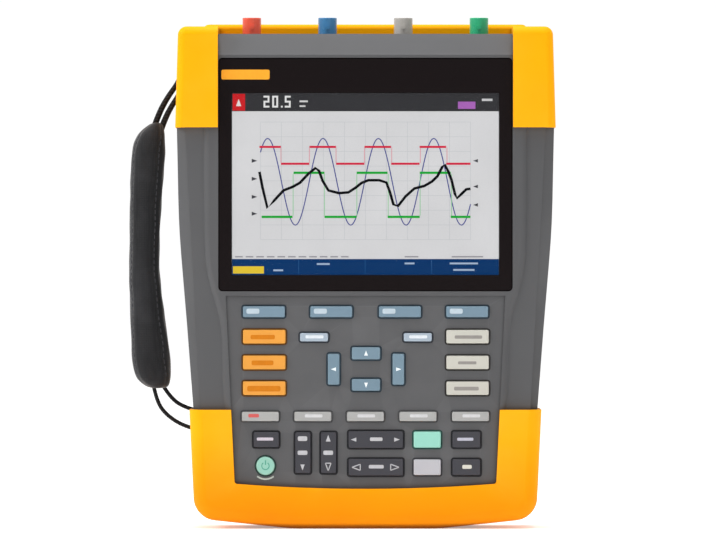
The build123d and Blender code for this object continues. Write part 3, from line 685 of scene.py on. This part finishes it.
def digit_shapes(text, x, z, height):
    """Seven-segment numbers as small bars; places and sizes in millimetres."""
    wide, thick = height * 0.5, height * 0.15
    shapes = []
    for sign in text:
        if sign == ".":
            shapes.append(box_mm(x, x + thick, z, z + thick))
            x += thick * 2.2
            continue
        half = height / 2
        bars = {
            "a": (0, wide, height - thick, height), "d": (0, wide, 0, thick),
            "g": (0, wide, half - thick / 2, half + thick / 2),
            "f": (0, thick, half, height), "e": (0, thick, 0, half),
            "b": (wide - thick, wide, half, height), "c": (wide - thick, wide, 0, half),
        }
        for key in SEGMENTS[sign]:
            low_x, high_x, low_z, high_z = bars[key]
            shapes.append(box_mm(x + low_x, x + high_x, z + low_z, z + high_z))
        x += wide + thick * 1.6
    return shapes


def boxes(*corners):
    return [box_mm(*corner) for corner in corners]


def make_screen_marks():
    """Marks, a reading and plain bars in place of words; the numbers are millimetres."""
    plain_layers = (
        ("mark_red_square", "D8262C", boxes((-67.8, -61.4, 213.3, 221.9))),
        ("mark_red_arrow", "F4E8E8", [triangle(-64.7 * MM, 217.2 * MM, 0.0021, UP)]),
        ("status_reading", "F2F2F2", digit_shapes(READING, -52.0, 214.9, 6.0)),
        ("status_unit", "E4E4E4", boxes((-33.6, -29.4, 217.6, 218.5), (-33.6, -30.6, 215.2, 216.0))),
        ("status_purple", "B06AC0", boxes((47.2, 56.1, 214.2, 217.9))),
        ("status_small", "D0D0D2", boxes((59.4, 64.8, 218.2, 219.4))),
        ("menu_yellow", "E8C838", boxes((-67.6, -51.8, 130.2, 133.9))),
    )
    for name, code, shapes in plain_layers:
        screen_layer(name, code, shapes)

    labels = (
        (-24.8, -18.2, 134.6), (43.0, 57.4, 134.9), (44.8, 55.6, 131.6),
        (-47.0, -42.0, 131.4), (20.0, 25.0, 134.9),
    )
    screen_layer("menu_labels", "A8BCD6", [box_mm(low, high, z, z + 0.9) for low, high, z in labels])
    dividers = [box_mm(x, x + 0.3, 129.9, 137.2) for x in (-34.2, -0.3, 33.6)]
    screen_layer("menu_dividers", "2C5C94", dividers)

    foot, top, pitch = 138.4, 139.1, 5.4
    hint = [box_mm(-66.5 + k * pitch, -62.6 + k * pitch, foot, top) for k in range(11)]
    screen_layer("hint_line", "9A9AA0", hint + boxes((20.0, 27.0, foot, top), (44.0, 60.0, foot, top)))
    markers = [triangle(-56.8 * MM, z * MM, 0.0016, RIGHT) for z in (187.7, 178.5, 169.3, 160.7)]
    markers += [triangle(56.3 * MM, z * MM, 0.0014, LEFT) for z in (187.7, 174.6, 165.2)]
    screen_layer("level_markers", "46464C", markers)


make_backlight()
make_graticule()
make_traces()
make_screen_marks()


INK_OUT, INK_IN = 0.00004, 0.0001  # how far printed ink stands out of a face, and how far it goes in


def make_accent_stripe():
    """Plain stripe printed on the glass above the screen."""
    bm = bmesh.new()
    outline = rounded(-0.0612, 0.2317, 0.0246, 0.0050, 0.0008)
    add_prism(bm, outline, glass_front - INK_OUT, glass_front + INK_IN)
    piece_from("accent_stripe", bm, printed("accent_orange", "F0A028", 0.45))


make_accent_stripe()


# ---------------------------------------------------------------- painted gap shade round the keys, and their legends
panel_y = -0.0317  # the keypad's face
FLANGE, ROCKER_FLANGE = 0.0009, 0.0007
PIN_REACH = 0.0048  # what a rocker's two pins add to its width or height, with its flange
GAP_SHADE_NEAR, GAP_SHADE_FAR = 0.0007, 0.0017  # how much wider than a key the two edges of its painted gap shade are
KEY_RADIUS = 0.0008
STROKE = 0.0005  # width of a drawn line on a key
CRESCENT_RADIUS = 0.0068
legend_inks = {}


def ink(code):
    if code not in legend_inks:
        legend_inks[code] = printed(f"ink_{code}", code, 0.5)
    return legend_inks[code]


def make_key_gap_shade():
    """Painted shade: a dark ring on the panel round each key, for the shadow in the gap between key and
    panel.
    """
    for kind, code in KEY_GAP_SHADE.items():
        bm = bmesh.new()
        for node, its_kind in key_kinds.items():
            if its_kind != kind:
                continue
            low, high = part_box(node)
            flange = ROCKER_FLANGE if "rocker" in node else FLANGE
            # A rocker's pins reach past its flange across its short side.
            width, height = high.x - low.x - 2 * flange, high.z - low.z - 2 * flange
            if node.startswith("tall"):
                width = high.x - low.x - PIN_REACH
            if node.startswith("wide"):
                height = high.z - low.z - PIN_REACH
            x, z = (low.x + high.x) / 2, (low.z + high.z) / 2
            radius = width / 2 if node == "power_key" else KEY_RADIUS
            inner = rounded(x, z, width + GAP_SHADE_NEAR, height + GAP_SHADE_NEAR, radius + 0.00034, 8)
            outer = rounded(x, z, width + GAP_SHADE_FAR, height + GAP_SHADE_FAR, radius + 0.00084, 8)
            near, far = panel_y - 0.00006, panel_y + INK_IN
            add_frame(bm, ((outer, near), (inner, near), (inner, far), (outer, far)))
        # Each piece is painted shade round the keys of one kind, though its material is made by ink().
        piece_from(f"{kind}_outlines", bm, ink(code))


def legend(node, code, shapes, lines=()):
    """Ink on a key's face, and on the soft keys a painted highlight; the shapes are given from the key's
    middle, in millimetres.
    """
    low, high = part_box(node)
    x, z = (low.x + high.x) / 2, (low.z + high.z) / 2
    near, far = low.y - INK_OUT, low.y + INK_IN
    bm = bmesh.new()
    for outline in shapes:
        add_prism(bm, [(x + px * MM, z + pz * MM) for px, pz in outline], near, far)
    for points in lines:
        add_ribbon(bm, [(x + px * MM, z + pz * MM) for px, pz in points], STROKE, near, far)
    piece_from(f"{node}_mark", bm, ink(code), node)


def bar(x, z, width, height):
    return rounded(x, z, width, height, min(width, height) * 0.3, 3)


def hollow(x, z, size, turn):
    """Three strokes of an open arrowhead."""
    points = triangle(x, z, size, turn)
    return [[points[0], points[1]], [points[1], points[2]], [points[2], points[0]]]


def arc(x, z, radius, start, sweep, steps):
    """Points round a centre, from a start angle through a sweep in degrees."""
    angles = [math.radians(start + sweep * step / steps) for step in range(steps + 1)]
    return [(x + radius * math.cos(angle), z + radius * math.sin(angle)) for angle in angles]


def make_legends():
    """Plain bars, given by x, z, width and height, and arrowheads, by x, z, size and turn."""
    # Painted highlight: the pale patch on the left third of each soft key stands in for a glint.
    for number in range(4):
        legend(f"soft_key_{number + 1}", "B4C2CC", [bar(-5.6, 0.3, 6.6, 2.6)])
    for number, (x, width, height) in enumerate(((-0.8, 12.4, 2.2), (-0.9, 11.2, 2.4), (-0.2, 17.0, 2.8))):
        legend(f"orange_key_{number + 1}", "C87408", [bar(x, -0.2, width, height)])
    for number, (x, width, height) in enumerate(((0.4, 14.0, 1.7), (-0.2, 9.4, 1.5), (-0.6, 12.6, 1.9))):
        legend(f"white_key_{number + 1}", "8E8A86", [bar(x, -0.2, width, height)])
    for side in ("left", "right"):
        legend(f"small_key_{side}", "D4DAE0", [bar(0.2, 0.2, 9.2, 1.6)])
    for side, turn in (("up", UP), ("down", DOWN), ("left", LEFT), ("right", RIGHT)):
        legend(f"arrow_key_{side}", "E6EEF2", [triangle(0.0, 0.0, 1.5, turn)])
    legend("channel_key_1", "C85A58", [bar(-3.4, 0.4, 5.4, 1.8)])
    for number in range(1, 5):
        legend(f"channel_key_{number + 1}", "C6C6C8", [bar(0.4, 0.3, 9.0, 1.6)])
    legend("dark_key_left", "C4BCC6", [bar(-0.6, 0.3, 8.4, 1.5)])
    legend("dark_key_upper", "B4B4C2", [bar(-0.6, 0.2, 8.2, 1.5)])
    legend("dark_key_lower", "C8C6BC", [bar(0.3, 0.2, 4.8, 2.0)])

    pale = "B6B6BA"
    tall_bar = bar(-0.2, 0.0, 5.0, 2.2)
    legend("tall_rocker_left", pale, [bar(-0.2, 7.2, 4.8, 2.4), tall_bar, triangle(-0.2, -7.3, 1.7, DOWN)])
    legend("tall_rocker_right", pale, [triangle(-0.2, 7.2, 1.9, UP), tall_bar], hollow(-0.2, -7.0, 2.2, DOWN))
    arrows = [triangle(-11.2, 0.0, 1.6, LEFT), bar(0.2, 0.2, 6.4, 1.8), triangle(10.6, 0.0, 1.6, RIGHT)]
    legend("wide_rocker_upper", pale, arrows)
    outlines = hollow(-9.8, 0.0, 2.4, LEFT) + hollow(9.4, 0.0, 2.4, RIGHT)
    legend("wide_rocker_lower", pale, [bar(0.2, 0.3, 7.6, 1.8)], outlines)
    legend("power_key", "4E9A84", [bar(0.0, 1.7, 0.6, 2.4)], [arc(0.0, 0.0, 1.9, 125.0, 290.0, 14)])


def make_power_crescent():
    """A short arc printed on the panel under the power key."""
    low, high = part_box("power_key")
    x, z = (low.x + high.x) / 2, (low.z + high.z) / 2
    points = arc(x, z, CRESCENT_RADIUS, 232.0, 76.0, 12)
    bm = bmesh.new()
    add_ribbon(bm, points, 0.0008, panel_y - 0.00008, panel_y + INK_IN)
    piece_from("power_crescent", bm, ink("B8C2BC"))


make_key_gap_shade()
make_legends()
make_power_crescent()


# ---------------------------------------------------------------- hand strap
PAD_OUTER = [
    (-0.1104, 0.2078), (-0.1168, 0.2004), (-0.1194, 0.1880), (-0.1204, 0.1350),
    (-0.1196, 0.1000), (-0.1180, 0.0790), (-0.1128, 0.0712),
]
PAD_INNER = [
    (-0.0990, 0.0712), (-0.1014, 0.0870), (-0.1056, 0.1180),
    (-0.1072, 0.1380), (-0.1056, 0.1720), (-0.1026, 0.2078),
]
PAD_HALF = 0.0184  # half the pad's width
PAD_STATIONS = 64
PAD_END_STATIONS = 4.0  # over which each end closes
FACE_STEPS = 26
SEAM_AT = 0.0142  # how far the sewn lines are from the strap's middle
SEAM_HALF, SEAM_DEPTH = 0.0011, 0.0008
CLOTH_FRAMES = 20
PUFF_CAP = 0.001
STITCH_LENGTH, STITCH_PITCH, STITCH_RADIUS = 0.0021, 0.0032, 0.00028
STITCH_LOW, STITCH_HIGH = 0.0775, 0.2000
WEBBING = (((-0.1093, 0.2036), (-0.0951, 0.2314)), ((-0.1054, 0.2036), (-0.0951, 0.2242)))
TAPE_WIDTH = 0.0196
TAPE_STEPS = 16


def smooth_line(points):
    """Catmull-Rom line through (x, z) points."""
    steps = 8
    vectors = [Vector(p) for p in points]
    ends = [2 * vectors[0] - vectors[1]] + vectors + [2 * vectors[-1] - vectors[-2]]
    line = []
    for before, here, there, after in zip(ends, ends[1:], ends[2:], ends[3:]):
        for step in range(steps):
            t = step / steps
            slope = (there - before) * t
            bend = (2 * before - 5 * here + 4 * there - after) * t * t
            twist = (3 * here - before - 3 * there + after) * t ** 3
            line.append(0.5 * (2 * here + slope + bend + twist))
    line.append(vectors[-1])
    return line


def pad_fabric():
    """Charcoal padded cloth: a fine weave over slow unevenness, with dust in its folds."""
    g = Graph("pad_fabric")
    weave = g.node("ShaderNodeTexVoronoi", feature="F1", distance="CHEBYCHEV")
    weave.inputs["Scale"].default_value = 1100.0
    weave.inputs["Randomness"].default_value = 0.15
    g.link(g.where, weave.inputs["Vector"])
    thread = g.spread(weave.outputs["Distance"], 0.0, 1.0, 0.1, 0.6)
    base = g.mix(thread, linear("2B2B2D"), linear("1B1B1D"))
    worn = g.math("MULTIPLY", g.spread(g.noise(35.0, 5.0, 0.6), 0.0, 1.0, 0.48, 0.75), 0.5)
    g.drive("Base Color", g.mix(worn, base, linear("3E3E41")))
    g.drive("Roughness", g.spread(g.noise(60.0, 3.0), 0.72, 0.92))
    g.set(Specular_IOR_Level=0.2, Sheen_Weight=0.15)
    lumps = g.math("MULTIPLY", g.noise(120.0, 3.0), 2.0)
    g.bump(g.math("ADD", g.math("MULTIPLY", thread, -0.35), lumps), 0.5, 0.00025)
    return g.material


def webbing_cloth():
    """Woven polyester tape: ribs across its length."""
    g = Graph("webbing_cloth")
    ribs = g.node("ShaderNodeTexWave", bands_direction="Z")
    ribs.inputs["Scale"].default_value = 190.0
    ribs.inputs["Distortion"].default_value = 0.8
    g.link(g.where, ribs.inputs["Vector"])
    cross = g.node("ShaderNodeTexWave", bands_direction="Y")
    cross.inputs["Scale"].default_value = 240.0
    g.link(g.where, cross.inputs["Vector"])
    weave = g.math("MULTIPLY", ribs.outputs["Fac"], cross.outputs["Fac"])
    g.drive("Base Color", g.mix(weave, linear("101012"), linear("2C2C2F")))
    g.set(Roughness=0.78, Specular_IOR_Level=0.2)
    g.bump(weave, 0.7, 0.0003)
    return g.material


def evenly(line, count):
    """Points at equal distances along a line."""
    lengths = [0.0]
    for first, second in zip(line, line[1:]):
        lengths.append(lengths[-1] + (second - first).length)
    points = []
    place = 0
    for number in range(count):
        wanted = lengths[-1] * number / (count - 1)
        while place < len(line) - 2 and lengths[place + 1] < wanted:
            place += 1
        share = (wanted - lengths[place]) / max(1e-9, lengths[place + 1] - lengths[place])
        points.append(line[place].lerp(line[place + 1], min(1.0, share)))
    return points


def across_strap(bm, centre, across, section):
    """Vertices of an (along Y, across) section at a point of the strap's (x, z) line."""
    return [
        bm.verts.new((centre.x + across.x * v, strap_y + u, centre.y + across.y * v)) for u, v in section
    ]


def pad_sections():
    """Middle, across direction, half thickness and share of the width at stations from top to bottom."""
    outer = evenly(smooth_line(PAD_OUTER), PAD_STATIONS)
    inner = evenly(list(reversed(smooth_line(PAD_INNER))), PAD_STATIONS)
    sections = []
    for index, (out, near) in enumerate(zip(outer, inner)):
        across = (out - near).normalized()
        from_end = min(index, PAD_STATIONS - 1 - index)
        ease = math.sqrt(1.0 - (1.0 - min(1.0, (from_end + 0.35) / PAD_END_STATIONS)) ** 2)
        half_thick = (out - near).length / 2 * (0.45 + 0.55 * ease)
        sections.append(((out + near) / 2, across, half_thick, 0.8 + 0.2 * ease))
    return sections


def pad_profile(half_thick, half_wide):
    """Loop across the pad: crowned faces, drawn in at the sewn lines, with soft side walls."""
    face = []
    for step in range(FACE_STEPS + 1):
        u = -1.0 + 2.0 * step / FACE_STEPS
        u = math.copysign(abs(u) ** 0.85, u)
        crown = (1.0 - abs(u) ** 7) ** 0.5
        from_seam = (abs(u) * half_wide - SEAM_AT) / SEAM_HALF
        height = half_thick * crown * (0.93 + 0.07 * (1.0 - u * u)) - SEAM_DEPTH * math.exp(-from_seam ** 2)
        face.append((u * half_wide, height))
    back = [(u, -v) for u, v in reversed(face[1:-1])]
    return [(u, max(v, 0.0)) for u, v in face] + back


def puff_up(pad):
    """Swell the pad's cover under a light inner pressure, moving no point further than a cap."""
    scene = bpy.context.scene
    before = [vertex.co.copy() for vertex in pad.data.vertices]
    cloth = pad.modifiers.new("cloth", "CLOTH")
    cloth.settings.quality = 5
    cloth.settings.mass = 0.3
    cloth.settings.use_pressure = True
    cloth.settings.uniform_pressure_force = 4.0
    cloth.settings.effector_weights.gravity = 0.0
    cloth.point_cache.frame_start = 1
    cloth.point_cache.frame_end = CLOTH_FRAMES
    for number in range(1, CLOTH_FRAMES + 1):
        scene.frame_set(number)
    evaluated = pad.evaluated_get(bpy.context.evaluated_depsgraph_get())
    after = [vertex.co.copy() for vertex in evaluated.data.vertices]
    pad.modifiers.remove(cloth)
    scene.frame_set(1)
    for vertex, old, new in zip(pad.data.vertices, before, after):
        move = new - old
        if move.length > PUFF_CAP:
            move *= PUFF_CAP / move.length
        vertex.co = old + move


def crease(pad):
    """Soft unevenness of a used pad."""
    for vertex in pad.data.vertices:
        point = vertex.co
        vertex.co.x += 0.0005 * noise.noise(Vector((point.x * 40.0, point.y * 70.0, point.z * 90.0)))
        vertex.co.y += 0.0004 * noise.noise(Vector((point.z * 70.0, point.x * 90.0, point.y * 60.0)))


def make_pad():
    bm = bmesh.new()
    loops = []
    for middle, across, half_thick, width_share in pad_sections():
        loops.append(across_strap(bm, middle, across, pad_profile(half_thick, PAD_HALF * width_share)))
    bridge(bm, loops)
    for loop in (loops[0], loops[-1]):
        # The end is a strip of quads between the two faces of the pad.
        half = len(loop) // 2
        bm.faces.new((loop[0], loop[1], loop[-1]))
        for index in range(1, half - 1):
            bm.faces.new((loop[index], loop[index + 1], loop[-index - 1], loop[-index]))
        bm.faces.new((loop[half - 1], loop[half], loop[half + 1]))
    pad = piece_from("strap_cushion", bm, pad_fabric(), CASE)
    puff_up(pad)
    crease(pad)
    smoothing = pad.modifiers.new("subdivision", "SUBSURF")
    smoothing.levels = 1
    smoothing.render_levels = 1
    bake(pad)
    pad.data.shade_smooth()
    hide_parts("strap_pad")
    return pad


def bake(piece):
    """Apply a piece's modifiers to its mesh."""
    evaluated = piece.evaluated_get(bpy.context.evaluated_depsgraph_get())
    mesh = bpy.data.meshes.new_from_object(evaluated)
    piece.modifiers.clear()
    material = piece.data.materials[0]
    piece.data = mesh
    paint(piece, material)


def make_stitches(pad):
    """Short stitches along both sewn lines on each side of the pad."""
    corners = [vertex.co for vertex in pad.data.vertices]
    faces = [tuple(polygon.vertices) for polygon in pad.data.polygons]
    tree = BVHTree.FromPolygons(corners, faces)
    bm = bmesh.new()
    for line_y in (strap_y - SEAM_AT, strap_y + SEAM_AT):
        for start_x, way in ((-0.14, 1.0), (-0.09, -1.0)):
            z = STITCH_LOW
            while z < STITCH_HIGH:
                ends = []
                for end_z in (z, z + STITCH_LENGTH):
                    hit = tree.ray_cast(Vector((start_x, line_y, end_z)), Vector((way, 0.0, 0.0)))[0]
                    if hit:
                        ends.append(hit - Vector((way * 0.00015, 0.0, 0.0)))
                if len(ends) == 2:
                    middle = (ends[0] + ends[1]) / 2 - Vector((way * 0.00012, 0.0, 0.0))
                    add_tube(bm, [ends[0], middle, ends[1]], STITCH_RADIUS, 6)
                z += STITCH_PITCH
    thread = printed("stitch_thread", "4A4A4E", 0.7)
    piece_from("strap_stitches", bm, thread, CASE, 50)


def make_webbing():
    """Two tapes from the pad up to the bumper, each a little bowed and thinner at the top."""
    cloth = webbing_cloth()
    for number, ((start_x, start_z), (end_x, end_z)) in enumerate(WEBBING):
        bm = bmesh.new()
        start, end = Vector((start_x, start_z)), Vector((end_x, end_z))
        along = (end - start).normalized()
        across = Vector((-along.y, along.x))
        loops = []
        for step in range(TAPE_STEPS + 1):
            t = step / TAPE_STEPS
            bow = (0.0013 - 0.0006 * number) * math.sin(math.pi * t / 0.85) if t < 0.85 else 0.0
            thick = 0.0028 - 0.0006 * min(1.0, t / 0.8)
            section = rounded(0.0, 0.0, TAPE_WIDTH, thick, 0.0009, 4)
            loops.append(across_strap(bm, start.lerp(end, t) + across * bow, across, section))
        bridge(bm, loops)
        bm.faces.new(loops[0])
        bm.faces.new(loops[-1])
        tape = piece_from(f"strap_tape_{number + 1}", bm, cloth, CASE, 50)
        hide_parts("strap_webbing")


strap_cushion = make_pad()
make_stitches(strap_cushion)
make_webbing()


# ---------------------------------------------------------------- final update of the scene
bpy.context.view_layer.update()
